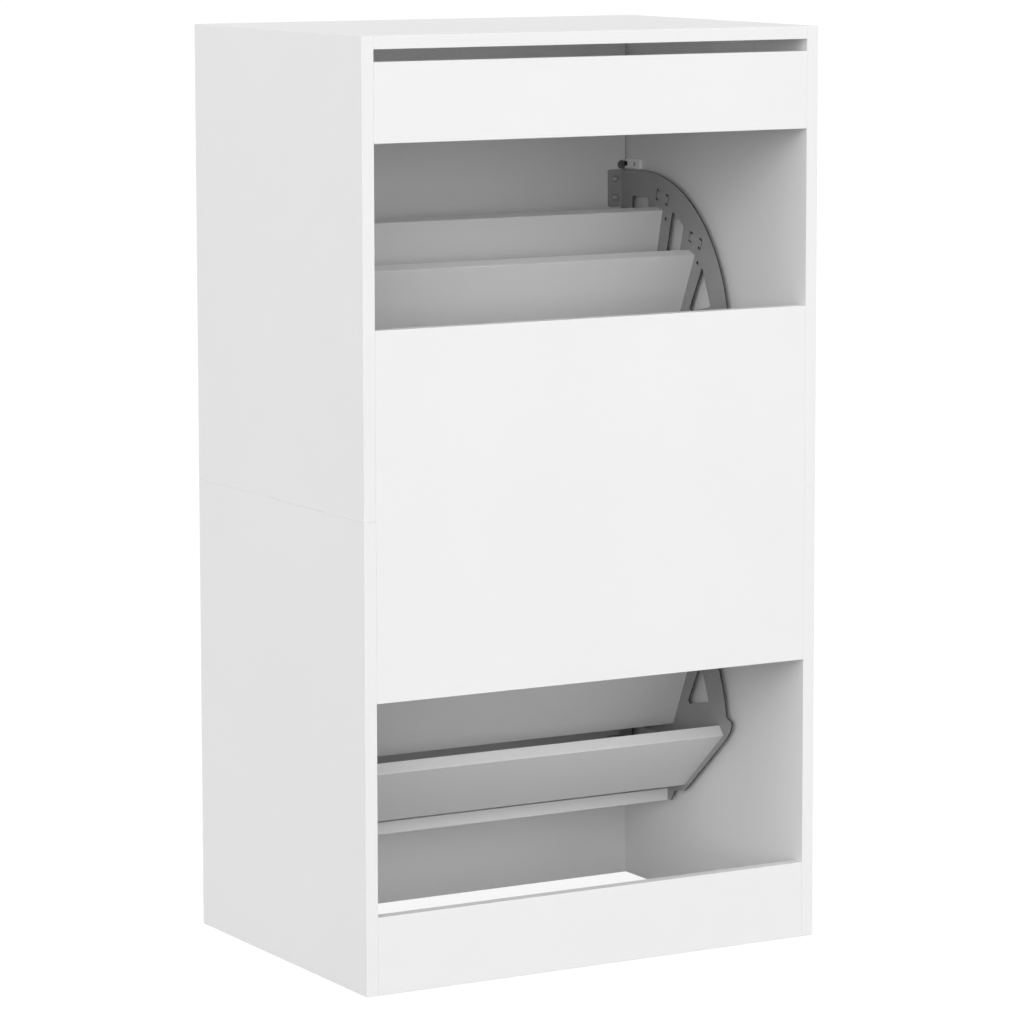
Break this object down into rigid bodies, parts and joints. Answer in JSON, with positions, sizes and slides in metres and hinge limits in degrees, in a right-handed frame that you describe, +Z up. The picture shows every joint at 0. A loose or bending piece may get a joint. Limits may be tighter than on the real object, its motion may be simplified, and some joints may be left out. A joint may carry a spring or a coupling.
{
  "type": "shoe cabinet",
  "caption": "Tall white shoe cabinet with an open back and tilt-out flaps that carry sloping boards between grey fan-shaped side brackets.",
  "frame": {"origin": "on the floor, under the middle of the cabinet", "axes": "+Z up, -Y towards the front with the flaps, +X to the right seen from the front"},
  "size_m": [0.6, 0.42, 1.08],
  "materials": {
    "white_board": "white melamine-faced board with white edge banding, satin",
    "bracket_grey": "stamped steel sheet, mid-grey powder coat, darker at the sheared edges",
    "bush_plastic": "moulded dark grey plastic, slight sheen",
    "catch_plastic": "moulded white plastic, slight sheen",
    "magnet": "dark sintered magnet",
    "dark_steel": "dark steel disc",
    "zinc_steel": "zinc-plated steel",
    "zinc_cam": "die-cast zinc",
    "dowel_wood": "plain beech dowels"
  },
  "bodies": {
    "carcass": {"side_panel_left_lower": "white_board", "side_panel_right_lower": "white_board", "side_panel_left_upper": "white_board", "side_panel_right_upper": "white_board", "top_board": "white_board", "rear_rail_top": "white_board", "rear_panel_middle": "white_board", "rear_rail_bottom": "white_board", "front_plinth": "white_board", "seam_dowels": "dowel_wood", "rail_dowels": "dowel_wood", "cam_locks": "zinc_cam", "cam_bolts": "zinc_steel", "pivot_pin_left_lower": "zinc_steel", "pivot_pin_right_lower": "zinc_steel", "stop_pins_lower": "zinc_steel", "catch_left_lower": "catch_plastic", "catch_right_lower": "catch_plastic", "catch_magnets_lower": "magnet", "catch_screws_lower": "zinc_steel", "pivot_pin_left_upper": "zinc_steel", "pivot_pin_right_upper": "zinc_steel", "stop_pins_upper": "zinc_steel", "catch_left_upper": "catch_plastic", "catch_right_upper": "catch_plastic", "catch_magnets_upper": "magnet", "catch_screws_upper": "zinc_steel"},
    "flap_lower": {"flap_panel_lower": "white_board", "bracket_left_lower": "bracket_grey", "bracket_right_lower": "bracket_grey", "front_divider_lower": "white_board", "rear_divider_lower": "white_board", "rear_shelf_lower": "white_board", "base_shelf_lower": "white_board", "board_screws_lower": "zinc_steel", "flange_screws_lower": "zinc_steel", "strike_plates_lower": "dark_steel", "pivot_bush_left_lower": "bush_plastic", "pivot_bush_right_lower": "bush_plastic"},
    "flap_upper": {"flap_panel_upper": "white_board", "bracket_left_upper": "bracket_grey", "bracket_right_upper": "bracket_grey", "front_divider_upper": "white_board", "rear_divider_upper": "white_board", "rear_shelf_upper": "white_board", "base_shelf_upper": "white_board", "board_screws_upper": "zinc_steel", "flange_screws_upper": "zinc_steel", "strike_plates_upper": "dark_steel", "pivot_bush_left_upper": "bush_plastic", "pivot_bush_right_upper": "bush_plastic"}
  },
  "joints": [
    {"name": "flap_lower_hinge", "type": "hinge", "parent": "carcass", "child": "flap_lower", "pos_m": [0, -0.182, 0.165], "axis": [1, 0, 0], "range_deg": [0, 38]},
    {"name": "flap_upper_hinge", "type": "hinge", "parent": "carcass", "child": "flap_upper", "pos_m": [0, -0.182, 0.649], "axis": [1, 0, 0], "range_deg": [0, 38]}
  ]
}
